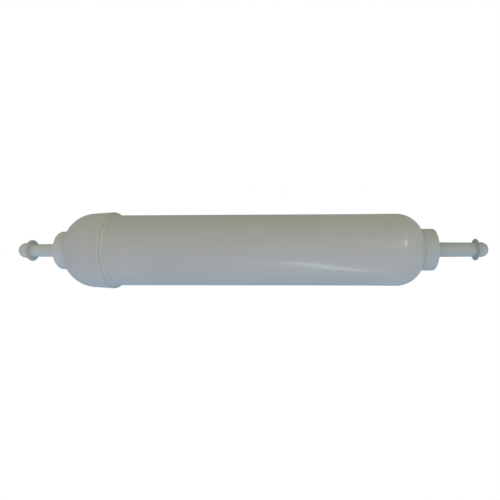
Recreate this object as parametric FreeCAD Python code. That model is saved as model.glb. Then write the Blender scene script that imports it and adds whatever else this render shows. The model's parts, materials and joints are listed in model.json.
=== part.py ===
"""Inline water filter: a welded cartridge with a screw-in hose tail at each end.

Millimetres. The filter's axis is X, the inlet is at -X and the outlet at +X. The origin is on the
axis, halfway between the two tips. Every round piece is an outline in (x, radius) turned about X.
"""
import FreeCAD, Part
import math
import os

from FreeCAD import Vector

# Barrel and outlet dome
BARREL_R = 25.45           # barrel radius at the outlet end (about a 2 inch tube)
DOME_START = 111.6         # where the barrel turns into the outlet dome
DOME_ARC = 18.3            # radius of the outlet dome's outline
CLIP_LAND = 24.0           # straight stretch of barrel before the dome, where pipe clips go
BARREL_DRAFT = 0.0065      # radius gained per mm from there to the open end, for release
BARREL_OPEN_END = -106.0
WALL = 2.6
LEDGE_R = 21.2             # ledge inside the dome that carries the outlet grid
LEDGE_X = 104.0

# Inlet cap, welded over the barrel's open end
CAP_START = -108.4         # where the inlet dome turns into the skirt
CAP_ARC = 22.7             # radius of the inlet dome's outline
CAP_R = 28.25              # skirt radius at the dome
CAP_LIP_R = 29.0           # skirt radius at the lip
CAP_LIP_X = -93.5
LIP_ROUND = 1.4
LIP_LEAD = 0.6             # chamfer inside the lip
CAP_STOP_GAP = 0.3         # between the barrel's end and the cap's shoulder
BEAD_REACH = 2.2           # weld bead: how far it runs out along the barrel
BEAD_CROWN = 1.2           # where its outer ridge is highest, from the lip
BEAD_RISE = 0.6            # the ridge's height
BEAD_CLIMB = 1.3           # how high the bead climbs up the lip

# Fits
SLIDE_FIT = 0.05           # radial clearance of a piece that slides
THREAD_FIT = 0.10          # radial clearance between the tail's thread and its port
WELD_FIT = 0.05            # cap skirt on barrel
STACK_GAP = 0.1            # between stacked pieces
SEAT_GAP = 0.03            # between a collar and its port's face
TOUCH_GAP = 0.02           # between pieces that touch

# Ports and their threads, G 3/8
SEAT_X = 128.7             # the ports' outer faces, where the collars sit
PORT_DEPTH = 12.2
BOSS_R = 13.0
THREAD_R = 8.33
THREAD_ROOT_R = 7.50
THREAD_PITCH = 1.337
THREAD_LENGTH = 8.0
THREAD_FOOT = 0.92         # width of the thread's ridge at its root, in pitches
THREAD_CREST = 0.28        # the same at its crest
THREAD_SUNK = 0.15         # how far the ridge runs into the root
THREAD_LEAD = 1.0          # plain root before the ridge starts
THREAD_RUNOUT = 0.9        # and after it ends
ROOT_RELIEF = 1.2          # root beyond the threaded length
ROOT_CHAMFER = 0.5
PORT_R = THREAD_R + THREAD_FIT
O_RING_SECTION_R = 1.0
O_RING_R = 9.62
COUNTERBORE_R = 11.0
COUNTERBORE_DEPTH = 2 * O_RING_SECTION_R + 2 * TOUCH_GAP - SEAT_GAP

# Hose tails
COLLAR_R = 14.6
COLLAR_FACE_X = 137.6      # outer face of the collar
COLLAR_ROUND = 0.8
COLLAR_CHAMFER = 0.1
STEM_ROOT_R = 5.1
STEM_R = 4.85              # at the barb ring
STEM_FILLET = 0.3
WATERWAY_R = 2.5
NOSE_EDGE = 0.2            # plastic left round the waterway at the tip
TIP_FROM_COLLAR = 35.63
CREST_DROP = 0.12          # how far the barb ring's crest is rounded down at its two edges

# Barb rings. crest, slope_end and nose_round are distances from the collar's face.
OUTLET_BARB = {
    "crest": 28.2,
    "crest_r": 7.55,
    "land": 0.15,
    "back": 0.15,
    "slope_end": 28.6,
    "nose_r": 5.1,
    "nose_round": 31.75,
}
INLET_BARB = {
    "crest": 26.0,
    "crest_r": 8.2,
    "land": 0.6,
    "back": 0.6,
    "slope_end": 28.2,
    "nose_r": 5.95,
    "nose_round": 30.3,
}

# Inlet end of the media stack
SPREADER_X = -111.2        # face that the spring stands on
SPREADER_DISC_R = 19.5
SPREADER_DISC = 2.0
SPREADER_CUP_R = 15.2
SPREADER_CUP_END = -122.0
SPREADER_WINDOWS = 8
WINDOW_LENGTH = 3.4
WINDOW_WIDTH = 5.2
WINDOW_DEPTH = 6.0
WINDOW_FROM_R = 11.0
CENTRING_RIB = 0.8         # width and height of the rib inside the spring's end turn
CENTRING_RIB_HEIGHT = 1.2
CENTRING_GAP = 0.2
SPRING_R = 17.0
SPRING_WIRE_R = 0.8
SPRING_COILS = 4.5
SPRING_GROUND = 0.7        # share of the wire's radius left beyond an end turn's centre line
WASHER = 0.8
WASHER_HALF_WIDTH = 1.7

# Screen packs: a perforated plate, a screen, a felt and a clip ring
FOLLOWER_X = -98.3         # back face of the follower plate
GRID_FOOT_X = 103.9        # back of the outlet grid's foot ring, on the barrel's ledge
GRID_FOOT = 5.0
GRID_SIDE_GAP = 0.25
GRID_RIBS = 6
GRID_RIB = 1.4
GRID_RIB_HEIGHT = 4.0
GRID_RIB_INNER_R = 4.0
PLATE = 3.5
PLATE_SIDE_GAP = 0.45
SKIRT_WALL = 2.2
SCREEN = 0.4
FELT = 6.0
CLIP = 1.3
CLIP_WIDTH = 1.8
CLIP_SPLIT = 3.0
HOLE_R = 1.6
HOLE_RINGS = ((5.2, 6), (10.4, 12), (15.6, 18))
SCREEN_PITCH = 2.6
SCREEN_HOLE = 1.5
SCREEN_RIM = 2.0
WIPER_X = 4.4              # wiper groove, from the follower plate's back
WIPER_WIDTH = 2.4
WIPER_DEPTH = 1.3
PACK_DEPTH = PLATE + SCREEN + FELT + CLIP + 3 * STACK_GAP

# Media
CARBON_LENGTH = 143.0
DIVIDER = 3.0

X_AXIS = Vector(1, 0, 0)
CUT = 1.0                  # how far a cutting tool runs past what it cuts
JOIN = 0.5                 # how far two shapes that are fused overlap


def barrel_radius(x):
    """Outer radius of the barrel: straight at the outlet end, then a cone out to the open end."""
    return BARREL_R + BARREL_DRAFT * max(0.0, DOME_START - CLIP_LAND - x)


def bore_radius(x):
    return barrel_radius(x) - WALL


def on_arc(centre, radius, turn):
    """Point in (x, radius) on a circle round centre, at an angle from +X."""
    return centre[0] + radius * math.cos(turn), centre[1] + radius * math.sin(turn)


def arc_to(centre, radius, turn_from, turn_to):
    """Middle and end of a stretch of that circle, for an outline."""
    return on_arc(centre, radius, (turn_from + turn_to) / 2), on_arc(centre, radius, turn_to)


def outline(*steps):
    """Closed wire in (x, radius). A step is a point, or (middle, end) of an arc from the last."""
    edges = []
    here = Vector(steps[0][0], steps[0][1], 0)
    first = here
    for step in steps[1:]:
        if isinstance(step[0], tuple):
            middle = Vector(step[0][0], step[0][1], 0)
            there = Vector(step[1][0], step[1][1], 0)
            edges.append(Part.Arc(here, middle, there).toShape())
        else:
            there = Vector(step[0], step[1], 0)
            edges.append(Part.LineSegment(here, there).toShape())
        here = there
    edges.append(Part.LineSegment(here, first).toShape())
    return Part.Wire(edges)


def turned(*steps):
    return Part.Face(outline(*steps)).revolve(Vector(0, 0, 0), X_AXIS, 360)


def ring(x_low, x_high, r_in, r_out):
    return turned((x_low, r_in), (x_high, r_in), (x_high, r_out), (x_low, r_out))


def disc(x_low, x_high, radius):
    return Part.makeCylinder(radius, x_high - x_low, Vector(x_low, 0, 0), X_AXIS)


def around(shape, count, start_deg=0.0):
    """Copies of a shape spaced evenly about the axis."""
    copies = []
    for index in range(count):
        copy = shape.copy()
        copy.rotate(Vector(0, 0, 0), X_AXIS, start_deg + index * 360.0 / count)
        copies.append(copy)
    return copies


def at_inlet(shape):
    """The same piece at the inlet end. It is turned round, so a thread stays right-handed."""
    copy = shape.copy()
    copy.rotate(Vector(0, 0, 0), Vector(0, 0, 1), 180)
    return copy


def port_steps():
    """Outline of the outlet port, from its boss inside the dome out to its face."""
    floor = SEAT_X - COUNTERBORE_DEPTH
    return (
        (SEAT_X - PORT_DEPTH, BOSS_R),
        (SEAT_X - PORT_DEPTH, PORT_R),
        (floor, PORT_R),
        (floor, COUNTERBORE_R),
        (SEAT_X, COUNTERBORE_R),
    )


def housing_body():
    """Barrel and outlet dome in one moulding, with a ledge inside that carries the media."""
    centre = (DOME_START, BARREL_R - DOME_ARC)
    inner_arc = DOME_ARC - WALL
    collar_turn = math.asin((COLLAR_R - centre[1]) / DOME_ARC)
    ledge_turn = math.asin((LEDGE_R - centre[1]) / inner_arc)
    boss_turn = math.asin((BOSS_R - centre[1]) / inner_arc)
    land_x = DOME_START - CLIP_LAND
    return turned(
        (BARREL_OPEN_END, bore_radius(BARREL_OPEN_END)),
        (land_x, bore_radius(land_x)),
        (LEDGE_X, bore_radius(LEDGE_X)),
        (LEDGE_X, LEDGE_R),
        on_arc(centre, inner_arc, ledge_turn),
        arc_to(centre, inner_arc, ledge_turn, boss_turn),
        *port_steps(),
        (SEAT_X, COLLAR_R),
        on_arc(centre, DOME_ARC, collar_turn),
        arc_to(centre, DOME_ARC, collar_turn, math.pi / 2),
        (land_x, BARREL_R),
        (BARREL_OPEN_END, barrel_radius(BARREL_OPEN_END)),
    )


def end_cap():
    """Inlet dome with a skirt that flares to a lip and is welded over the barrel's open end."""
    centre = (CAP_START, CAP_R - CAP_ARC)
    inner_arc = CAP_ARC - WALL
    shoulder_x = BARREL_OPEN_END - CAP_STOP_GAP
    face_turn = math.pi - math.acos((SEAT_X + CAP_START) / CAP_ARC)
    boss_turn = math.pi - math.asin((BOSS_R - centre[1]) / inner_arc)
    socket_r = barrel_radius(CAP_LIP_X) + WELD_FIT
    lip_centre = (CAP_LIP_X - LIP_ROUND, CAP_LIP_R - LIP_ROUND)
    return turned(
        (shoulder_x, CAP_R - WALL),
        (CAP_START, CAP_R - WALL),
        arc_to(centre, inner_arc, math.pi / 2, boss_turn),
        *[(-x, radius) for x, radius in port_steps()],
        on_arc(centre, CAP_ARC, face_turn),
        arc_to(centre, CAP_ARC, face_turn, math.pi / 2),
        (CAP_LIP_X - LIP_ROUND, CAP_LIP_R),
        arc_to(lip_centre, LIP_ROUND, math.pi / 2, 0),
        (CAP_LIP_X, socket_r + LIP_LEAD),
        (CAP_LIP_X - LIP_LEAD, socket_r),
        (shoulder_x, barrel_radius(shoulder_x) + WELD_FIT),
    )


def cap_weld_bead():
    """Melted plastic that fills the chamfer under the cap's lip and slopes down to a ridge."""
    barrel = barrel_radius(CAP_LIP_X) + TOUCH_GAP
    face_x = CAP_LIP_X + TOUCH_GAP
    return turned(
        (CAP_LIP_X - LIP_LEAD + 2 * TOUCH_GAP, barrel),
        (CAP_LIP_X + BEAD_REACH, barrel),
        (CAP_LIP_X + BEAD_CROWN, barrel + BEAD_RISE),
        (face_x, barrel + BEAD_CLIMB),
        (face_x, barrel + LIP_LEAD),
    )


def thread(x_low, x_high):
    """Ridge of a right-hand thread on the root of a hose tail."""
    half_foot = THREAD_FOOT * THREAD_PITCH / 2
    half_crest = THREAD_CREST * THREAD_PITCH / 2
    sunk = THREAD_ROOT_R - THREAD_SUNK
    corners = [
        Vector(sunk, 0, -half_foot),
        Vector(THREAD_R, 0, -half_crest),
        Vector(THREAD_R, 0, half_crest),
        Vector(sunk, 0, half_foot),
        Vector(sunk, 0, -half_foot),
    ]
    helix = Part.makeHelix(THREAD_PITCH, x_high - x_low, THREAD_ROOT_R)
    ridge = Part.Wire(helix).makePipeShell([Part.makePolygon(corners)], True, True)
    ridge.rotate(Vector(0, 0, 0), Vector(0, 1, 0), 90)
    ridge.translate(Vector(x_low, 0, 0))
    return ridge


def nose_arc(start_x, start_r, end_x, end_r):
    """Middle and end of the tip's round: half an ellipse would close it, cut off at end_r."""
    end_turn = math.asin(end_r / start_r)
    length = (end_x - start_x) / math.cos(end_turn)
    middle_turn = (math.pi / 2 + end_turn) / 2
    return (start_x + length * math.cos(middle_turn), start_r * math.sin(middle_turn)), (end_x, end_r)


def hose_tail(barb):
    """Collar, stem, barb ring and rounded nose, with a threaded root and a waterway through."""
    collar_in = SEAT_X + SEAT_GAP
    root_end = SEAT_X - COUNTERBORE_DEPTH - THREAD_LENGTH - ROOT_RELIEF
    crest = COLLAR_FACE_X + barb["crest"]
    half_land = barb["land"] / 2
    shoulder_r = barb["crest_r"] - CREST_DROP
    nose_round = COLLAR_FACE_X + barb["nose_round"]
    tip = COLLAR_FACE_X + TIP_FROM_COLLAR
    collar_round_centre = (COLLAR_FACE_X - COLLAR_ROUND, COLLAR_R - COLLAR_ROUND)
    fillet_centre = (COLLAR_FACE_X + STEM_FILLET, STEM_ROOT_R + STEM_FILLET)
    shaft = turned(
        (root_end, WATERWAY_R),
        (root_end, THREAD_ROOT_R - ROOT_CHAMFER),
        (root_end + ROOT_CHAMFER, THREAD_ROOT_R),
        (collar_in, THREAD_ROOT_R),
        (collar_in, COLLAR_R - COLLAR_CHAMFER),
        (collar_in + COLLAR_CHAMFER, COLLAR_R),
        (COLLAR_FACE_X - COLLAR_ROUND, COLLAR_R),
        arc_to(collar_round_centre, COLLAR_ROUND, math.pi / 2, 0),
        (COLLAR_FACE_X, STEM_ROOT_R + STEM_FILLET),
        arc_to(fillet_centre, STEM_FILLET, math.pi, 3 * math.pi / 2),
        (crest - half_land - barb["back"], STEM_R),
        (crest - half_land, shoulder_r),
        ((crest, barb["crest_r"]), (crest + half_land, shoulder_r)),
        (COLLAR_FACE_X + barb["slope_end"], barb["nose_r"]),
        (nose_round, barb["nose_r"]),
        nose_arc(nose_round, barb["nose_r"], tip, WATERWAY_R + NOSE_EDGE),
        (tip, WATERWAY_R),
    )
    ridge_start = root_end + THREAD_LEAD
    return shaft.fuse(thread(ridge_start, ridge_start + THREAD_LENGTH - THREAD_RUNOUT))


def tail_o_ring():
    """Face seal in the port's counterbore, round the root of the hose tail."""
    middle_x = SEAT_X - COUNTERBORE_DEPTH + O_RING_SECTION_R + TOUCH_GAP
    return Part.makeTorus(O_RING_R, O_RING_SECTION_R, Vector(middle_x, 0, 0), X_AXIS)


def inlet_spreader():
    """Cup on the inlet port: a blind disc turns the jet out through windows in the cup's wall."""
    disc_back = SPREADER_X - SPREADER_DISC
    cup_in = BOSS_R + TOUCH_GAP
    rib_out = SPRING_R - SPRING_WIRE_R - CENTRING_GAP
    body = turned(
        (SPREADER_CUP_END, cup_in),
        (disc_back, cup_in),
        (disc_back, 0),
        (SPREADER_X, 0),
        (SPREADER_X, rib_out - CENTRING_RIB),
        (SPREADER_X + CENTRING_RIB_HEIGHT, rib_out - CENTRING_RIB),
        (SPREADER_X + CENTRING_RIB_HEIGHT, rib_out),
        (SPREADER_X, rib_out),
        (SPREADER_X, SPREADER_DISC_R),
        (disc_back, SPREADER_DISC_R),
        (disc_back, SPREADER_CUP_R),
        (SPREADER_CUP_END, SPREADER_CUP_R),
    )
    corner = Vector(disc_back - WINDOW_LENGTH, -WINDOW_WIDTH / 2, WINDOW_FROM_R)
    window = Part.makeBox(WINDOW_LENGTH, WINDOW_WIDTH, WINDOW_DEPTH, corner)
    return body.cut(around(window, SPREADER_WINDOWS))


def packing_spring(x_low, x_high):
    """Coil spring with its end turns ground flat."""
    inset = SPRING_GROUND * SPRING_WIRE_R
    height = x_high - x_low - 2 * inset
    helix = Part.makeHelix(height / SPRING_COILS, height, SPRING_R)
    section = Part.Circle(Vector(SPRING_R, 0, 0), Vector(0, 1, 0), SPRING_WIRE_R)
    coil = Part.Wire(helix).makePipeShell([Part.Wire(Part.Edge(section))], True, True)
    coil.rotate(Vector(0, 0, 0), Vector(0, 1, 0), 90)
    coil.translate(Vector(x_low + inset, 0, 0))
    return coil.common(ring(x_low, x_high, SPRING_R - 2 * SPRING_WIRE_R, SPRING_R + 2 * SPRING_WIRE_R))


def plate_holes(x_low, x_high):
    holes = [disc(x_low, x_high, HOLE_R)]
    for ring_r, count in HOLE_RINGS:
        hole = disc(x_low, x_high, HOLE_R)
        hole.translate(Vector(0, 0, ring_r))
        holes.extend(around(hole, count))
    return holes


def screen_disc(x_low, x_high, radius):
    """Round screen with square openings on a grid."""
    openings = []
    count = int(radius / SCREEN_PITCH)
    half = SCREEN_HOLE / 2
    for row in range(-count, count + 1):
        for column in range(-count, count + 1):
            y = column * SCREEN_PITCH
            z = row * SCREEN_PITCH
            if math.hypot(y, z) < radius - SCREEN_RIM:
                corner = Vector(x_low - CUT, y - half, z - half)
                openings.append(Part.makeBox(x_high - x_low + 2 * CUT, SCREEN_HOLE, SCREEN_HOLE, corner))
    return disc(x_low, x_high, radius).cut(openings)


def plate_pack(back_x, side, radius):
    """Plate, screen, felt and clip ring. The plate's back is at back_x, the media are at side."""
    def x_at(depth):
        return back_x + side * depth

    def span(near, far):
        return min(x_at(near), x_at(far)), max(x_at(near), x_at(far))

    inside = radius - SKIRT_WALL
    plate = turned(
        (x_at(0), 0),
        (x_at(PLATE), 0),
        (x_at(PLATE), inside),
        (x_at(PACK_DEPTH), inside),
        (x_at(PACK_DEPTH), radius),
        (x_at(0), radius),
    )
    plate = plate.cut(plate_holes(*span(-CUT, PLATE + CUT)))
    depth = PLATE + STACK_GAP
    screen = screen_disc(*span(depth, depth + SCREEN), inside - STACK_GAP)
    depth += SCREEN + STACK_GAP
    felt = turned(
        (x_at(depth), 0),
        (x_at(depth + FELT + CLIP), 0),
        (x_at(depth + FELT + CLIP), inside - CLIP_WIDTH - STACK_GAP),
        (x_at(depth + FELT), inside - CLIP_WIDTH - STACK_GAP),
        (x_at(depth + FELT), inside - STACK_GAP),
        (x_at(depth), inside - STACK_GAP),
    )
    depth += FELT + STACK_GAP
    low, high = span(depth, depth + CLIP)
    clip = ring(low, high, inside - CLIP_WIDTH, inside - TOUCH_GAP)
    corner = Vector(low - CUT, -CLIP_SPLIT / 2, inside - 2 * CLIP_WIDTH)
    split = Part.makeBox(CLIP + 2 * CUT, CLIP_SPLIT, 4 * CLIP_WIDTH, corner)
    return plate, screen, felt, clip.cut(split)


def follower_pieces():
    """Sliding plate with its wiper, screen, felt, clip ring and the washer under the spring."""
    radius = bore_radius(FOLLOWER_X) - PLATE_SIDE_GAP
    plate, screen, felt, clip = plate_pack(FOLLOWER_X, 1, radius)
    groove_x = FOLLOWER_X + WIPER_X
    groove_end = groove_x + WIPER_WIDTH
    groove_r = radius - WIPER_DEPTH
    groove = ring(groove_x, groove_end, groove_r, radius + CUT)
    washer_in = SPRING_R - WASHER_HALF_WIDTH
    washer_out = SPRING_R + WASHER_HALF_WIDTH
    recess = ring(FOLLOWER_X - CUT, FOLLOWER_X + WASHER, washer_in - STACK_GAP, washer_out + STACK_GAP)
    wiper_r = bore_radius(groove_end) - SLIDE_FIT
    return {
        "follower_plate": plate.cut([groove, recess]),
        "inlet_mesh_screen": screen,
        "inlet_felt_pad": felt,
        "follower_clip_ring": clip,
        "follower_wiper_ring": ring(
            groove_x + SLIDE_FIT, groove_end - SLIDE_FIT, groove_r + TOUCH_GAP, wiper_r
        ),
        "spring_seat_washer": ring(
            FOLLOWER_X + TOUCH_GAP, FOLLOWER_X + WASHER - TOUCH_GAP, washer_in, washer_out
        ),
    }


def outlet_pieces():
    """Fixed plate on a ribbed foot, with the same screen, felt and clip ring as the follower."""
    back_x = GRID_FOOT_X - GRID_FOOT
    radius = bore_radius(back_x) - GRID_SIDE_GAP
    plate, screen, felt, clip = plate_pack(back_x, -1, radius)
    foot_r = LEDGE_R + STACK_GAP
    foot = ring(back_x - JOIN, GRID_FOOT_X, foot_r, radius)
    corner = Vector(back_x - JOIN, -GRID_RIB / 2, GRID_RIB_INNER_R)
    rib = Part.makeBox(GRID_RIB_HEIGHT + JOIN, GRID_RIB, foot_r + JOIN - GRID_RIB_INNER_R, corner)
    return {
        "outlet_support_grid": plate.fuse([foot] + around(rib, GRID_RIBS, 180.0 / GRID_RIBS)),
        "outlet_mesh_screen": screen,
        "outlet_felt_pad": felt,
        "outlet_clip_ring": clip,
    }


def media(x_low, x_high):
    """A bed that fills the tapered bore between two faces."""
    low_r = bore_radius(x_low) - STACK_GAP
    high_r = bore_radius(x_high) - STACK_GAP
    return turned((x_low, 0), (x_high, 0), (x_high, high_r), (x_low, low_r))


def media_pieces():
    """Carbon bed, divider pad and copper-zinc bed, between the follower and the outlet grid."""
    carbon_x = FOLLOWER_X + PACK_DEPTH + STACK_GAP
    divider_x = carbon_x + CARBON_LENGTH + STACK_GAP
    kdf_x = divider_x + DIVIDER + STACK_GAP
    grid_face = GRID_FOOT_X - GRID_FOOT - PACK_DEPTH - STACK_GAP
    return {
        "carbon_bed": media(carbon_x, carbon_x + CARBON_LENGTH),
        "media_divider_pad": media(divider_x, divider_x + DIVIDER),
        "kdf_media_bed": media(kdf_x, grid_face),
    }


def build():
    pieces = {
        "housing_body": housing_body(),
        "end_cap": end_cap(),
        "cap_weld_bead": cap_weld_bead(),
        "inlet_hose_tail": at_inlet(hose_tail(INLET_BARB)),
        "outlet_hose_tail": hose_tail(OUTLET_BARB),
        "inlet_tail_o_ring": at_inlet(tail_o_ring()),
        "outlet_tail_o_ring": tail_o_ring(),
        "inlet_spreader": inlet_spreader(),
        "packing_spring": packing_spring(SPREADER_X + TOUCH_GAP, FOLLOWER_X),
    }
    pieces.update(follower_pieces())
    pieces.update(media_pieces())
    pieces.update(outlet_pieces())
    return pieces


os.makedirs("parts", exist_ok=True)
for node, shape in build().items():
    shape.exportStep("parts/" + node + ".step")
    print(node, shape.isValid(), len(shape.Solids), round(shape.Volume, 1))
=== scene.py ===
import json
import math

import bmesh
import bpy
from mathutils import Matrix, Vector, noise


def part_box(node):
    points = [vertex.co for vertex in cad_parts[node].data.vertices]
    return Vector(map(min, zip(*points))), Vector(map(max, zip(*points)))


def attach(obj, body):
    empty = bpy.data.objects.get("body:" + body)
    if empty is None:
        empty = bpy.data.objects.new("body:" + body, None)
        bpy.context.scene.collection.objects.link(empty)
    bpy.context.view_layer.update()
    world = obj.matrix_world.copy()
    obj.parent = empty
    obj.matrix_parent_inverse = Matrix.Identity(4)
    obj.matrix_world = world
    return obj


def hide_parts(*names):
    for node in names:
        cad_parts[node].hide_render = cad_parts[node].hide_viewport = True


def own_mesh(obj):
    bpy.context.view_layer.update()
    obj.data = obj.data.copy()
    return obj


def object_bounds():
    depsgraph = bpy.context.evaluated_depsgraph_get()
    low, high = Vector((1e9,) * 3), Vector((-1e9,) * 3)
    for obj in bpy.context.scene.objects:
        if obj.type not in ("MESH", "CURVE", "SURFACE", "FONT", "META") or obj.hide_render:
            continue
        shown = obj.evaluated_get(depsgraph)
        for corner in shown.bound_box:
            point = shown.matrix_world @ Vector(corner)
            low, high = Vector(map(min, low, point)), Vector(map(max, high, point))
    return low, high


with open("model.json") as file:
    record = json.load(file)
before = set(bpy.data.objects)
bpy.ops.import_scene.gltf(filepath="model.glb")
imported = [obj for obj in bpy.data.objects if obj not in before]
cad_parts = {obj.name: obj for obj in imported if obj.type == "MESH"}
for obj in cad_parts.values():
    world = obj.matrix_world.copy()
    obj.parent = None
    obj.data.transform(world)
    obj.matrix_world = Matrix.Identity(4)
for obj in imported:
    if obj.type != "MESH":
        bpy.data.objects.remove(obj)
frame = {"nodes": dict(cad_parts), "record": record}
CAD_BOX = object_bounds()

# Camera, in metres and degrees. It looks down on the filter, a little from the outlet's side.
SENSOR = 0.036
SHIFT = -0.01844
LENS = 0.02747
AIM_X = 0.0153
DISTANCE = 0.28046
SWING = 6.14
ELEVATION = 50.0
ROLL = -0.11

FLOOR_SIZE = 8.0
FLOOR_GAP = 0.0005

# Light from all round, as red, green and blue: an even part, and parts that grow towards the
# camera's side, towards the side that is uppermost in its picture and towards the outlet
WORLD_EVEN = (0.552, 0.624, 0.641)
WORLD_FRONT = (0.34, 0.26, 0.22)
WORLD_ABOVE = (0.01, -0.055, -0.26)
WORLD_OUTLET = (0.05, 0.06, 0.01)

# Two lamps: where each stands, what it points at, which way its long side runs, its size,
# colour and power, and whether it lights the filter or only shows in reflections
WINDOW = {
    "place": (0.569, -0.385, 1.066), "target": (0.1127, -0.0128, 0.0219), "along": (0.05, 1, 0.32),
    "size": (0.15, 0.42), "colour": (1.0, 0.98, 0.92), "watts": 2.1, "lights_up": False,
}
LAMP_STRIP = {
    "place": (0.148, -1.19, -0.075), "target": (0.058, -0.023, 0.010), "along": (0.38, 0.10, -0.92),
    "size": (0.05, 0.72), "colour": (0.80, 0.95, 1.0), "watts": 1.35, "lights_up": True,
}

# Sizes of the turned pieces, in metres, as the CAD source gives them
BARREL_R = 0.02545
DOME_START = 0.1116
DOME_ARC = 0.0183
CLIP_LAND = 0.024
BARREL_DRAFT = 0.0065
WALL = 0.0026
LEDGE_R = 0.0212
LEDGE_X = 0.104
CAP_START = -0.1084
CAP_ARC = 0.0227
CAP_R = 0.02825
CAP_LIP_R = 0.029
CAP_LIP_X = -0.0935
SHOULDER_GAP = 0.0003
WELD_FIT = 0.00005
LIP_LEAD = 0.0006
SEAT_X = 0.1287
PORT_DEPTH = 0.0122
PORT_R = 0.00843
BOSS_R = 0.013
COUNTERBORE_R = 0.011
COUNTERBORE_DEPTH = 0.00201
SEAT_GAP = 0.00003
COLLAR_R = 0.0146
COLLAR_FACE_X = 0.1376
COLLAR_ROUND = 0.0008
COLLAR_CHAMFER = 0.0001
STEM_ROOT_R = 0.0051
STEM_R = 0.00485
STEM_FILLET = 0.0003
WATERWAY_R = 0.0025
NOSE_EDGE_R = 0.0027
TIP_FROM_COLLAR = 0.03563
CREST_DROP = 0.00012
THREAD_R = 0.00833
THREAD_ROOT_R = 0.0075
THREAD_PITCH = 0.001337
THREAD_FROM = 0.11849
THREAD_TO = 0.12559
ROOT_END = 0.11749
ROOT_CHAMFER = 0.0005
OUTLET_BARB = {
    "crest": 0.0282, "crest_r": 0.00755, "land": 0.00015, "back": 0.00015,
    "slope_end": 0.0286, "nose_r": 0.0051, "nose_round": 0.03175,
}
INLET_BARB = {
    "crest": 0.0260, "crest_r": 0.0082, "land": 0.0006, "back": 0.0006,
    "slope_end": 0.0282, "nose_r": 0.00595, "nose_round": 0.0303,
}
THREAD_HALF_FOOT = 0.46    # half the width of the thread's ridge at its root, in pitches
THREAD_HALF_CREST = 0.14   # the same at its crest
SPRING_R = 0.017
SPRING_WIRE_R = 0.0008
SPRING_COILS = 4.5
SPRING_GROUND = 0.7        # share of the wire's radius left beyond an end turn's centre line
STACK_GAP = 0.0001         # between stacked pieces
CLIP = 0.0013              # thickness of a clip ring
CLIP_WIDTH = 0.0018
BEAD_FIT = 0.00002         # gap between the weld bead and what it touches
BEAD_CROWN = 0.0012        # where the bead's ridge is highest, from the lip
BEAD_RISE = 0.0006         # the ridge's height
BEAD_CLIMB = 0.0013        # how high the bead climbs up the lip, from the barrel

# Sizes that are only in the looks
LIP_RUN = 0.0016           # how much of the skirt the lip's soft round takes up
THREAD_SUNK = 0.0001       # how far the thread's ridge runs into the root
FLASH_SHORTER = 0.0004     # where the bead reaches least far along the barrel, by how much
FLASH_LOWER = 0.28         # where it is lowest, by what share
FLASH_SEGMENTS = 384
EDGE_SOFT = 0.00018        # corners of the tails are this soft
SEAM_SOFT = 0.00006        # and those of the barrel and cap, where a tail meets them
SOFTEN_FROM = math.radians(20)
CORNER_SHARE = 0.4         # most of an edge that a softened corner may take
CORNER_STEPS = 4
LONGEST_STEP = 0.004       # longest face along an outline
TAIL_STEP = 0.002
SEGMENTS = 256
TAIL_SEGMENTS = 192
PARTING_HEIGHT = 0.00005   # the line that a two-part mould leaves
FELT_GRAIN = 0.0011
FELT_DEPTH = 0.00022
FELT_SEGMENTS = 160
FELT_CORNER = 0.0005
SAME_PLACE = 1e-7          # points closer than this are one
FULL_TURN = 2 * math.pi


# ---------------------------------------------------------------- outlines, as lists of (x, radius)

def arc(centre, radius_x, radius_r, start, end, steps):
    """Points on a stretch of an ellipse, both ends included. Turns are from +X, in radians."""
    points = []
    for index in range(steps + 1):
        turn = start + (end - start) * index / steps
        points.append((centre[0] + radius_x * math.cos(turn), centre[1] + radius_r * math.sin(turn)))
    return points


def soften(points, size):
    """The closed outline with each sharp corner rounded off."""
    result = []
    count = len(points)
    for index in range(count):
        here = Vector(points[index])
        before = Vector(points[index - 1]) - here
        after = Vector(points[(index + 1) % count]) - here
        if before.length < SAME_PLACE or after.length < SAME_PLACE:
            continue
        turn = math.pi - before.angle(after)
        if turn < SOFTEN_FROM:
            result.append(tuple(here))
            continue
        cut = min(size, CORNER_SHARE * before.length, CORNER_SHARE * after.length)
        start = here + before.normalized() * cut
        end = here + after.normalized() * cut
        for step in range(CORNER_STEPS + 1):
            t = step / CORNER_STEPS
            result.append(tuple(start * (1 - t) ** 2 + here * 2 * t * (1 - t) + end * t ** 2))
    return result


def refine(points, longest=LONGEST_STEP):
    """The closed outline with its long straight runs divided, and short steps beside corners."""
    result = []
    count = len(points)
    for index in range(count):
        here = Vector(points[index])
        there = Vector(points[(index + 1) % count])
        length = (there - here).length
        result.append(tuple(here))
        if length <= longest / 4:
            continue
        parts = math.ceil(length / longest)
        near = 0.1 / parts
        shares = [near] + [k / parts for k in range(1, parts)] + [1 - near]
        result.extend(tuple(here.lerp(there, share)) for share in shares)
    return result


def mirrored(points):
    return [(-x, radius) for x, radius in points]


# ---------------------------------------------------------------- meshes

def finish_mesh(name, mesh, sharp_deg=50):
    """Object from a mesh: doubles merged, normals outward, smooth but for real corners."""
    work = bmesh.new()
    work.from_mesh(mesh)
    bmesh.ops.remove_doubles(work, verts=work.verts, dist=SAME_PLACE)
    bmesh.ops.recalc_face_normals(work, faces=work.faces)
    for face in work.faces:
        face.smooth = True
    work.to_mesh(mesh)
    work.free()
    mesh.set_sharp_from_angle(angle=math.radians(sharp_deg))
    obj = bpy.data.objects.new(name, mesh)
    bpy.context.scene.collection.objects.link(obj)
    return obj


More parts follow.
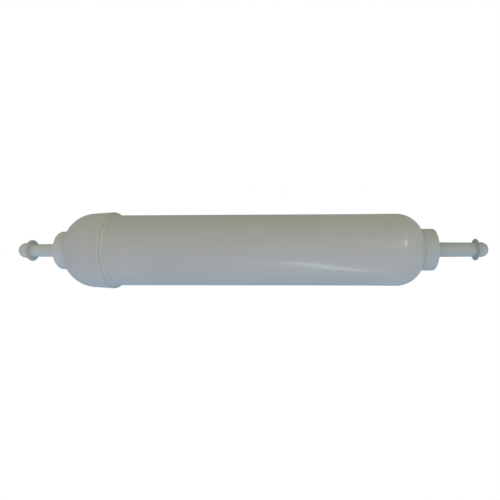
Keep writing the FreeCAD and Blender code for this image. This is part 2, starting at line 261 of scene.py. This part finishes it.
def turned_mesh(name, points, segments, reshape=None):
    """Closed outline turned about X. reshape(x, radius, turn) may change a point's x and radius."""
    verts = []
    for x, radius in points:
        for index in range(segments):
            turn = FULL_TURN * index / segments
            at_x, at_r = reshape(x, radius, turn) if reshape else (x, radius)
            verts.append((at_x, at_r * math.cos(turn), at_r * math.sin(turn)))
    faces = []
    count = len(points)
    for row in range(count):
        below = row * segments
        above = ((row + 1) % count) * segments
        for index in range(segments):
            after = (index + 1) % segments
            faces.append((below + index, below + after, above + after, above + index))
    mesh = bpy.data.meshes.new(name)
    mesh.from_pydata(verts, [], faces)
    return mesh


def lathe(name, points, segments=SEGMENTS, reshape=None):
    return finish_mesh(name, turned_mesh(name, points, segments, reshape))


def helix_sweep(start_x, end_x, turns, radius, section, steps_per_turn):
    """Vertices and faces of a section, as (along, outward) pairs, swept along a helix about X."""
    steps = int(turns * steps_per_turn)
    size = len(section)
    verts = []
    for step in range(steps + 1):
        share = step / steps
        turn = share * turns * FULL_TURN
        x = start_x + (end_x - start_x) * share
        for along, outward in section:
            reach = radius + outward
            verts.append((x + along, reach * math.cos(turn), reach * math.sin(turn)))
    faces = []
    for step in range(steps):
        for index in range(size):
            after = (index + 1) % size
            low = step * size
            high = low + size
            faces.append((low + index, low + after, high + after, high + index))
    faces.append(tuple(range(size - 1, -1, -1)))
    faces.append(tuple(steps * size + index for index in range(size)))
    return verts, faces


# ---------------------------------------------------------------- outer mouldings

def barrel_radius(x):
    return BARREL_R + BARREL_DRAFT * max(0.0, DOME_START - CLIP_LAND - x)


def port_outline():
    floor = SEAT_X - COUNTERBORE_DEPTH
    back = SEAT_X - PORT_DEPTH
    return [(back, BOSS_R), (back, PORT_R), (floor, PORT_R), (floor, COUNTERBORE_R),
            (SEAT_X, COUNTERBORE_R)]


def make_barrel():
    """Barrel and outlet dome, bored through, with the port and the ledge inside."""
    open_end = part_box("housing_body")[0].x
    centre = (DOME_START, BARREL_R - DOME_ARC)
    inner = DOME_ARC - WALL
    collar_turn = math.asin((COLLAR_R - centre[1]) / DOME_ARC)
    ledge_turn = math.asin((LEDGE_R - centre[1]) / inner)
    boss_turn = math.asin((BOSS_R - centre[1]) / inner)
    land = DOME_START - CLIP_LAND
    points = [(open_end, barrel_radius(open_end) - WALL), (land, BARREL_R - WALL),
              (LEDGE_X, BARREL_R - WALL), (LEDGE_X, LEDGE_R)]
    points += arc(centre, inner, inner, ledge_turn, boss_turn, 20)
    points += port_outline()
    points += [(SEAT_X, COLLAR_R)]
    points += arc(centre, DOME_ARC, DOME_ARC, collar_turn, math.pi / 2, 48)
    points += [(land, BARREL_R), (open_end, barrel_radius(open_end))]
    return lathe("barrel_shell", refine(soften(points, SEAM_SOFT)))


def make_cap():
    """Inlet dome with its flared skirt."""
    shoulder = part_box("housing_body")[0].x - SHOULDER_GAP
    centre = (CAP_START, CAP_R - CAP_ARC)
    inner = CAP_ARC - WALL
    face_turn = math.pi - math.acos((SEAT_X + CAP_START) / CAP_ARC)
    boss_turn = math.pi - math.asin((BOSS_R - centre[1]) / inner)
    socket = barrel_radius(CAP_LIP_X) + WELD_FIT
    drop = CAP_LIP_R - barrel_radius(CAP_LIP_X) - BEAD_CLIMB
    points = [(shoulder, CAP_R - WALL), (CAP_START, CAP_R - WALL)]
    points += arc(centre, inner, inner, math.pi / 2, boss_turn, 24)[1:]
    points += mirrored(port_outline())
    points += arc(centre, CAP_ARC, CAP_ARC, face_turn, math.pi / 2, 48)
    points += [(CAP_LIP_X - LIP_RUN * (1 - k / 10), CAP_LIP_R - drop * (k / 10) ** 2) for k in range(11)]
    points += [(CAP_LIP_X, socket + LIP_LEAD), (CAP_LIP_X - LIP_LEAD, socket),
               (shoulder, barrel_radius(shoulder) + WELD_FIT)]
    return lathe("cap_shell", refine(soften(points, SEAM_SOFT)))


def wander(turn, phase):
    """A slow uneven wave round the circle, from -1 to 1, the same on every run."""
    return (0.45 * math.sin(3 * turn + phase) + 0.30 * math.sin(7 * turn + 2.1 * phase)
            + 0.25 * math.sin(17 * turn + 3.3 * phase))


def make_weld_flash():
    """Melted plastic that fills the lip's chamfer, climbs the lip and ends in an uneven ridge."""
    barrel = barrel_radius(CAP_LIP_X) + BEAD_FIT
    foot, end = (corner.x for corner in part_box("cap_weld_bead"))
    crown = CAP_LIP_X + BEAD_CROWN
    face = CAP_LIP_X + BEAD_FIT
    points = [(foot, barrel)]
    points += [(foot + (end - foot) * k / 6, barrel) for k in range(1, 6)]
    for step in range(12):
        share = step / 12
        height = BEAD_RISE * (0.5 - 0.5 * math.cos(math.pi * share))
        points.append((end + (crown - end) * share, barrel + height))
    for step in range(13):
        share = step / 12
        height = BEAD_RISE + (BEAD_CLIMB - BEAD_RISE) * share ** 2
        points.append((crown + (face - crown) * share, barrel + height))
    points.append((face, barrel + LIP_LEAD))

    def uneven(x, radius, turn):
        share = max(0.0, (x - face) / (end - face))
        lift = (radius - barrel) * (1.0 - share * FLASH_LOWER * (0.5 - 0.5 * wander(turn, 1.7)))
        return x - share * FLASH_SHORTER * (0.5 + 0.5 * wander(turn, 0.4)), barrel + lift

    return lathe("weld_flash", points, FLASH_SEGMENTS, uneven)


def tail_outline(barb):
    collar_in = SEAT_X + SEAT_GAP
    crest = COLLAR_FACE_X + barb["crest"]
    half_land = barb["land"] / 2
    nose_round = COLLAR_FACE_X + barb["nose_round"]
    tip = COLLAR_FACE_X + TIP_FROM_COLLAR
    edge_turn = math.asin(NOSE_EDGE_R / barb["nose_r"])
    nose_length = (tip - nose_round) / math.cos(edge_turn)
    points = [(ROOT_END, WATERWAY_R), (ROOT_END, THREAD_ROOT_R - ROOT_CHAMFER),
              (ROOT_END + ROOT_CHAMFER, THREAD_ROOT_R), (collar_in, THREAD_ROOT_R),
              (collar_in, COLLAR_R - COLLAR_CHAMFER), (collar_in + COLLAR_CHAMFER, COLLAR_R)]
    points += arc((COLLAR_FACE_X - COLLAR_ROUND, COLLAR_R - COLLAR_ROUND),
                  COLLAR_ROUND, COLLAR_ROUND, math.pi / 2, 0, 8)
    points += arc((COLLAR_FACE_X + STEM_FILLET, STEM_ROOT_R + STEM_FILLET),
                  STEM_FILLET, STEM_FILLET, math.pi, 1.5 * math.pi, 6)
    points += [(crest - half_land - barb["back"], STEM_R)]
    points += arc((crest, barb["crest_r"] - CREST_DROP), half_land, CREST_DROP, math.pi, 0, 6)
    points += [(COLLAR_FACE_X + barb["slope_end"], barb["nose_r"])]
    points += arc((nose_round, 0), nose_length, barb["nose_r"], math.pi / 2, edge_turn, 14)
    points += [(tip, WATERWAY_R)]
    return refine(soften(points, EDGE_SOFT), TAIL_STEP)


def make_tail(name, barb, inlet):
    """Hose tail with its thread, and the faint parting line of its two-part mould."""
    first_line = TAIL_SEGMENTS // 9
    lines = (first_line, first_line + TAIL_SEGMENTS // 2)
    from_x = SEAT_X + 0.0004
    from_r = WATERWAY_R * 1.2

    def parting(x, radius, turn):
        column = round(turn / FULL_TURN * TAIL_SEGMENTS)
        if column in lines and x > from_x and radius > from_r:
            return x, radius + PARTING_HEIGHT
        return x, radius

    mesh = turned_mesh(name, tail_outline(barb), TAIL_SEGMENTS, parting)
    verts = [tuple(v.co) for v in mesh.vertices]
    faces = [tuple(f.vertices) for f in mesh.polygons]
    bpy.data.meshes.remove(mesh)
    foot = THREAD_HALF_FOOT * THREAD_PITCH
    crest = THREAD_HALF_CREST * THREAD_PITCH
    height = THREAD_R - THREAD_ROOT_R
    section = [(-foot, -THREAD_SUNK), (-crest * 1.4, height * 0.93), (-crest * 0.8, height),
               (crest * 0.8, height), (crest * 1.4, height * 0.93), (foot, -THREAD_SUNK)]
    turns = (THREAD_TO - THREAD_FROM) / THREAD_PITCH
    ridge, ridge_faces = helix_sweep(THREAD_FROM, THREAD_TO, turns, THREAD_ROOT_R, section, 72)
    faces += [tuple(index + len(verts) for index in face) for face in ridge_faces]
    verts += ridge
    mesh = bpy.data.meshes.new(name)
    mesh.from_pydata(verts, [], faces)
    if inlet:
        mesh.transform(Matrix.Rotation(math.pi, 4, "Z"))
    return finish_mesh(name, mesh)


def make_spring():
    """Coil spring: the end turns are ground flat where they bear."""
    low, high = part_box("packing_spring")
    inset = SPRING_GROUND * SPRING_WIRE_R
    turns = [FULL_TURN * k / 16 for k in range(16)]
    section = [(SPRING_WIRE_R * math.sin(turn), SPRING_WIRE_R * math.cos(turn)) for turn in turns]
    verts, faces = helix_sweep(low.x + inset, high.x - inset, SPRING_COILS, SPRING_R, section, 80)
    verts = [(min(max(x, low.x), high.x), y, z) for x, y, z in verts]
    mesh = bpy.data.meshes.new("coil_spring")
    mesh.from_pydata(verts, [], faces)
    return finish_mesh("coil_spring", mesh, 35)


# ---------------------------------------------------------------- soft and granular pieces

def rough_body(name, points, segments, grain, depth, cells):
    """A turned solid whose skin is pitted inward: grains where cells is true, felt where not."""
    mesh = turned_mesh(name, points, segments)
    obj = finish_mesh(name, mesh, 80)
    normals = [v.normal.copy() for v in mesh.vertices]
    for vert, normal in zip(mesh.vertices, normals):
        place = vert.co / grain
        if cells:
            pit = min(1.0, noise.voronoi(place)[0][0] * 1.3) ** 2
        else:
            pit = 0.5 + 0.5 * noise.fractal(place, 1.0, 2.2, 3)
        vert.co -= normal * depth * max(0.0, min(1.0, pit))
    mesh.update()
    return obj


def disc_outline(x_low, x_high, r_low, r_high, soft, step):
    """Closed outline of a solid disc or bed that may taper, with even steps on its skin."""
    points = [(x_low, 0.0), (x_low, r_low), (x_high, r_high), (x_high, 0.0)]
    dense = []
    for index in range(3):
        here = Vector(points[index])
        there = Vector(points[index + 1])
        parts = max(1, round((there - here).length / step))
        dense += [tuple(here.lerp(there, k / parts)) for k in range(parts)]
    dense.append(points[3])
    corners = (points[1], points[2])
    rounded = []
    for x, radius in dense:
        for corner_x, corner_r in corners:
            near = max(0.0, 1.0 - math.hypot(x - corner_x, radius - corner_r) / soft)
            inward = 1 if corner_x == x_low else -1
            x += inward * soft * 0.25 * near
            radius -= soft * 0.25 * near
        rounded.append((x, max(radius, 0.0)))
    return rounded


def make_bed(name, node, grain, depth, step, segments):
    low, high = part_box(node)
    outline = disc_outline(low.x, high.x, bed_radius(low.x), bed_radius(high.x), 2 * grain, step)
    return rough_body(name, outline, segments, grain, depth, True)


def bed_radius(x):
    return barrel_radius(x) - WALL - STACK_GAP


def make_pad(name, node):
    """Needled felt: a disc with soft edges and an uneven face."""
    low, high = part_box(node)
    radius = high.z
    outline = disc_outline(low.x, high.x, radius, radius, 0.0016, 0.0006)
    obj = rough_body(name, outline, FELT_SEGMENTS, FELT_GRAIN, FELT_DEPTH, False)
    return obj


def make_stepped_pad(name, node, step_x, neck_r):
    """Felt under a clip ring: the middle swells up through the ring."""
    low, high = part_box(node)
    radius = high.z
    toward = 1 if step_x > (low.x + high.x) / 2 else -1
    back, front = (low.x, high.x) if toward > 0 else (high.x, low.x)
    points = [(back, 0.0), (back, radius), (step_x, radius), (step_x, neck_r), (front, neck_r), (front, 0.0)]
    soft = soften(points, FELT_CORNER)[4:-4]
    outline = [(back, 0.0)] + [p for p in refine(soft, 0.0008) if p[1] > 0.0] + [(front, 0.0)]
    obj = rough_body(name, outline, FELT_SEGMENTS, FELT_GRAIN, FELT_DEPTH, False)
    return obj


# ---------------------------------------------------------------- node helpers

def new_material(name):
    """Material with a Principled shader, and functions that add and link its nodes."""
    material = bpy.data.materials.new(name)
    material.use_nodes = True
    tree = material.node_tree
    shader = tree.nodes["Principled BSDF"]

    def add(kind, **values):
        node = tree.nodes.new(kind)
        for key, value in values.items():
            if key in node.inputs:
                node.inputs[key].default_value = value
            else:
                setattr(node, key, value)
        return node

    return material, shader, add, tree.links.new


def ramp_between(add, low_at, low, high_at, high):
    ramp = add("ShaderNodeValToRGB")
    first, last = ramp.color_ramp.elements
    first.position = low_at
    first.color = (*low, 1)
    last.position = high_at
    last.color = (*high, 1)
    return ramp


def plastic(name, dark, light, roughness, relief=0.5, coat=0.4):
    """Moulded plastic: faint clouding, rubbed marks in its gloss and a fine orange peel."""
    material, shader, add, link = new_material(name)
    coords = add("ShaderNodeTexCoord")
    cloud = add("ShaderNodeTexNoise", Scale=26.0, Detail=3.0, Roughness=0.5)
    link(coords.outputs["Object"], cloud.inputs["Vector"])
    tint = ramp_between(add, 0.32, dark, 0.68, light)
    link(cloud.outputs["Fac"], tint.inputs["Fac"])
    link(tint.outputs["Color"], shader.inputs["Base Color"])
    stretch = add("ShaderNodeMapping")
    stretch.inputs["Scale"].default_value = (22.0, 260.0, 260.0)
    stretch.inputs["Rotation"].default_value = (0.0, 0.0, math.radians(4))
    link(coords.outputs["Object"], stretch.inputs["Vector"])
    rub = add("ShaderNodeTexNoise", Scale=1.0, Detail=5.0, Roughness=0.65)
    link(stretch.outputs["Vector"], rub.inputs["Vector"])
    gloss = add("ShaderNodeMapRange")
    gloss.inputs["From Min"].default_value = 0.35
    gloss.inputs["From Max"].default_value = 0.75
    gloss.inputs["To Min"].default_value = roughness
    gloss.inputs["To Max"].default_value = roughness + 0.10
    link(rub.outputs["Fac"], gloss.inputs["Value"])
    link(gloss.outputs["Result"], shader.inputs["Roughness"])
    peel = add("ShaderNodeTexNoise", Scale=900.0, Detail=2.0, Roughness=0.5)
    link(coords.outputs["Object"], peel.inputs["Vector"])
    fine = add("ShaderNodeBump", Strength=0.05 * relief, Distance=0.0001)
    link(peel.outputs["Fac"], fine.inputs["Height"])
    swell = add("ShaderNodeTexNoise", Scale=60.0, Detail=1.0, Roughness=0.4)
    link(coords.outputs["Object"], swell.inputs["Vector"])
    broad = add("ShaderNodeBump", Strength=0.10 * relief, Distance=0.0003)
    link(swell.outputs["Fac"], broad.inputs["Height"])
    link(fine.outputs["Normal"], broad.inputs["Normal"])
    link(broad.outputs["Normal"], shader.inputs["Normal"])
    shader.inputs["IOR"].default_value = 1.49
    shader.inputs["Subsurface Weight"].default_value = 0.15
    shader.inputs["Subsurface Radius"].default_value = (0.0030, 0.0030, 0.0028)
    shader.inputs["Subsurface Scale"].default_value = 1.0
    shader.inputs["Specular IOR Level"].default_value = 0.5 - 0.5 * coat
    shader.inputs["Coat Weight"].default_value = coat
    shader.inputs["Coat Roughness"].default_value = 0.145
    return material


def grained(name, dark, light, roughness, metallic=0.0, scale=600.0, relief=0.3, stretch_x=1.0):
    """A finish with a fine two-colour grain that also shows in its relief."""
    material, shader, add, link = new_material(name)
    coords = add("ShaderNodeTexCoord")
    squeeze = add("ShaderNodeMapping")
    squeeze.inputs["Scale"].default_value = (stretch_x, 1.0, 1.0)
    link(coords.outputs["Object"], squeeze.inputs["Vector"])
    grain = add("ShaderNodeTexNoise", Scale=scale, Detail=5.0, Roughness=0.65)
    link(squeeze.outputs["Vector"], grain.inputs["Vector"])
    tint = ramp_between(add, 0.35, dark, 0.70, light)
    link(grain.outputs["Fac"], tint.inputs["Fac"])
    link(tint.outputs["Color"], shader.inputs["Base Color"])
    bump = add("ShaderNodeBump", Strength=relief, Distance=0.0002)
    link(grain.outputs["Fac"], bump.inputs["Height"])
    link(bump.outputs["Normal"], shader.inputs["Normal"])
    shader.inputs["Roughness"].default_value = roughness
    shader.inputs["Metallic"].default_value = metallic
    return material


def granules(name, dark, light, roughness, metallic, size):
    """Packed grains: each cell has its own tone, and the gaps between them are darkened: painted shade
    between the grains.
    """
    material, shader, add, link = new_material(name)
    coords = add("ShaderNodeTexCoord")
    cell = add("ShaderNodeTexVoronoi", Scale=1.0 / size)
    link(coords.outputs["Object"], cell.inputs["Vector"])
    tone = add("ShaderNodeSeparateColor")
    link(cell.outputs["Color"], tone.inputs["Color"])
    tint = ramp_between(add, 0.1, dark, 0.9, light)
    link(tone.outputs["Red"], tint.inputs["Fac"])
    # Painted shade: the gaps between the grains are darkened to a quarter of the grains' tone.
    painted_gap_shade = ramp_between(add, 0.35, (1, 1, 1), 0.75, (0.25, 0.25, 0.25))
    link(cell.outputs["Distance"], painted_gap_shade.inputs["Fac"])
    both = add("ShaderNodeMix", data_type="RGBA", blend_type="MULTIPLY")
    both.inputs["Factor"].default_value = 1.0
    link(tint.outputs["Color"], both.inputs["A"])
    link(painted_gap_shade.outputs["Color"], both.inputs["B"])
    link(both.outputs["Result"], shader.inputs["Base Color"])
    bump = add("ShaderNodeBump", Strength=0.8, Distance=0.0004, invert=True)
    link(cell.outputs["Distance"], bump.inputs["Height"])
    link(bump.outputs["Normal"], shader.inputs["Normal"])
    shader.inputs["Roughness"].default_value = roughness
    shader.inputs["Metallic"].default_value = metallic
    return material


def make_looks():
    return {
        "housing_plastic": plastic("housing_plastic", (0.40, 0.40, 0.395), (0.425, 0.425, 0.42), 0.30),
        # Painted light: the inlet tail's plastic is a lighter copy of the tail plastic, which brightens the
        # inlet tail.
        "inlet_tail_painted_light": plastic("inlet_tail_painted_light", (0.44, 0.46, 0.455), (0.465, 0.485, 0.48), 0.50, 0.7, 0.0),
        "tail_plastic": plastic("tail_plastic", (0.365, 0.39, 0.39), (0.39, 0.415, 0.415), 0.50, 0.7, 0.0),
        # Painted light: the weld flash is painted lighter than the housing plastic it is melted from, which
        # lifts the shade in the lip's crease.
        "weld_plastic": plastic("weld_plastic", (0.42, 0.445, 0.395), (0.455, 0.48, 0.43), 0.30, 2.5, 0.2),
        "inner_plastic": plastic("inner_plastic", (0.66, 0.66, 0.62), (0.72, 0.72, 0.69), 0.5, 1.0, 0.0),
        "seal_rubber": grained("seal_rubber", (0.012, 0.012, 0.013), (0.03, 0.03, 0.032), 0.6),
        "spring_steel": grained("spring_steel", (0.45, 0.44, 0.42), (0.6, 0.59, 0.57), 0.25, 1.0, 900.0, 0.1),
        "screen_steel": grained("screen_steel", (0.4, 0.4, 0.39), (0.52, 0.52, 0.5), 0.35, 1.0, 1500.0, 0.2),
        "felt": grained("felt", (0.62, 0.62, 0.6), (0.8, 0.8, 0.78), 0.95, 0.0, 2600.0, 0.7, 0.35),
        "carbon": granules("carbon", (0.006, 0.006, 0.007), (0.035, 0.035, 0.038), 0.6, 0.0, 0.0012),
        "copper_zinc": granules("copper_zinc", (0.30, 0.16, 0.06), (0.60, 0.40, 0.18), 0.4, 0.7, 0.0008),
    }


# ---------------------------------------------------------------- the model

def dress(obj, looks, slot, body, *nodes, look=None):
    """Finish a new piece: its material, its slot, the body it rides on and what it replaces."""
    obj.data.materials.append(looks[look or slot])
    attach(obj, body)
    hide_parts(*nodes)


def make_pieces(looks):
    slots = {row["node"]: row["material_slot"] for row in frame["record"]["subparts"]}
    for node, obj in frame["nodes"].items():
        obj.data.materials.clear()
        obj.data.materials.append(looks[slots[node]])
    dress(make_barrel(), looks, "housing_plastic", "housing", "housing_body")
    dress(make_cap(), looks, "housing_plastic", "housing", "end_cap")
    # The weld flash wears the lighter weld plastic: painted light in the lip's crease.
    dress(make_weld_flash(), looks, "weld_plastic", "housing", "cap_weld_bead")
    # The inlet tail wears the lighter copy of the tail plastic: painted light.
    dress(make_tail("inlet_tail_moulding", INLET_BARB, True), looks, "tail_plastic", "inlet_tail",
          "inlet_hose_tail", look="inlet_tail_painted_light")
    dress(make_tail("outlet_tail_moulding", OUTLET_BARB, False), looks, "tail_plastic", "outlet_tail",
          "outlet_hose_tail")
    spring = make_spring()
    dress(spring, looks, "spring_steel", "housing", "packing_spring")
    low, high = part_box("packing_spring")
    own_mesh(spring)
    dress(make_bed("carbon_granules", "carbon_bed", 0.0013, 0.00055, 0.0007, 208), looks, "carbon",
          "housing", "carbon_bed")
    dress(make_bed("kdf_granules", "kdf_media_bed", 0.0009, 0.00035, 0.0006, 240), looks,
          "copper_zinc", "housing", "kdf_media_bed")
    dress(make_pad("divider_felt", "media_divider_pad"), looks, "felt", "housing", "media_divider_pad")
    low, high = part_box("inlet_felt_pad")
    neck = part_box("follower_clip_ring")[1].z - CLIP_WIDTH - STACK_GAP
    dress(make_stepped_pad("inlet_felt", "inlet_felt_pad", high.x - CLIP, neck), looks, "felt",
          "follower", "inlet_felt_pad")
    low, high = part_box("outlet_felt_pad")
    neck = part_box("outlet_clip_ring")[1].z - CLIP_WIDTH - STACK_GAP
    dress(make_stepped_pad("outlet_felt", "outlet_felt_pad", low.x + CLIP, neck), looks, "felt",
          "housing", "outlet_felt_pad")


# ---------------------------------------------------------------- studio

def only_for_the_camera(obj):
    """A backdrop that the camera sees, and that neither lights nor shades the filter."""
    obj.visible_diffuse = False
    obj.visible_glossy = False
    obj.visible_transmission = False
    obj.visible_volume_scatter = False
    obj.visible_shadow = False


def make_backdrop():
    """A pale floor that runs up into a pale sweep all round, both lit to white."""
    low = CAD_BOX[0].z - FLOOR_GAP
    material, shader, add, link = new_material("pale_floor")
    shader.inputs["Base Color"].default_value = (0.0, 0.0, 0.0, 1)
    shader.inputs["Roughness"].default_value = 1.0
    shader.inputs["Specular IOR Level"].default_value = 0.0
    shader.inputs["Emission Color"].default_value = (1.0, 1.0, 1.0, 1)
    shader.inputs["Emission Strength"].default_value = 1.0
    bpy.ops.mesh.primitive_plane_add(size=FLOOR_SIZE, location=(0, 0, low))
    floor = bpy.context.object
    floor.name = "floor"
    bpy.ops.mesh.primitive_uv_sphere_add(segments=48, ring_count=24, radius=FLOOR_SIZE * 0.45)
    sweep = bpy.context.object
    sweep.name = "sweep"
    for stage in (floor, sweep):
        stage.data.materials.append(material)
        only_for_the_camera(stage)


def strip_light(name, place, target, along, size, colour, watts, lights_up):
    """Area light whose long side runs along a direction. It may show in reflections only."""
    data = bpy.data.lights.new(name, "AREA")
    data.shape = "RECTANGLE"
    data.size, data.size_y = size
    data.color = colour
    data.energy = watts
    light = bpy.data.objects.new(name, data)
    bpy.context.scene.collection.objects.link(light)
    back = (Vector(place) - Vector(target)).normalized()
    side = Vector(along).cross(back).normalized()
    up = back.cross(side)
    light.matrix_world = Matrix.Translation(place) @ Matrix((side, up, back)).transposed().to_4x4()
    light.visible_camera = False
    light.visible_diffuse = lights_up


def make_lights():
    """Soft light from all round, a slim window and a long strip that leaves a streak."""
    world = bpy.data.worlds.new("studio")
    bpy.context.scene.world = world
    world.use_nodes = True
    tree = world.node_tree
    background = tree.nodes["Background"]
    coords = tree.nodes.new("ShaderNodeTexCoord")
    lean = math.radians(ELEVATION)
    parts = (
        ((0, -math.cos(lean), math.sin(lean)), WORLD_FRONT),
        ((0, math.sin(lean), math.cos(lean)), WORLD_ABOVE),
        ((1, 0, 0), WORLD_OUTLET),
    )
    total = None
    for direction, colour in parts:
        share = tree.nodes.new("ShaderNodeVectorMath")
        share.operation = "DOT_PRODUCT"
        share.inputs[1].default_value = direction
        tree.links.new(coords.outputs["Generated"], share.inputs[0])
        tinted = tree.nodes.new("ShaderNodeVectorMath")
        tinted.operation = "SCALE"
        tinted.inputs[0].default_value = colour
        tree.links.new(share.outputs["Value"], tinted.inputs["Scale"])
        added = tree.nodes.new("ShaderNodeVectorMath")
        added.operation = "ADD"
        added.inputs[1].default_value = WORLD_EVEN
        tree.links.new(tinted.outputs["Vector"], added.inputs[0])
        if total is not None:
            tree.links.new(total.outputs["Vector"], added.inputs[1])
        total = added
    tree.links.new(total.outputs["Vector"], background.inputs["Color"])
    strip_light("window", **WINDOW)
    strip_light("lamp_strip", **LAMP_STRIP)


def make_camera():
    data = bpy.data.cameras.new("camera")
    data.sensor_width = SENSOR * 1000
    data.lens = LENS * 1000
    data.shift_x = SHIFT
    data.clip_start = 0.01
    data.clip_end = 20
    camera = bpy.data.objects.new("camera", data)
    bpy.context.scene.collection.objects.link(camera)
    swing = math.radians(SWING)
    level = Matrix.Rotation(swing, 4, "Z") @ Matrix.Rotation(math.radians(90), 4, "X")
    roll = Matrix.Rotation(math.radians(ROLL), 4, "Z")
    back = Vector((math.sin(swing), -math.cos(swing), 0)) * DISTANCE
    aim = Matrix.Translation(Vector((AIM_X, 0, 0)))
    lean = Matrix.Rotation(math.radians(-ELEVATION), 4, "X")
    camera.matrix_world = aim @ lean @ Matrix.Translation(back) @ level @ roll
    bpy.context.scene.camera = camera


bpy.context.scene.view_settings.view_transform = "Standard"
make_pieces(make_looks())
make_backdrop()
make_lights()
make_camera()
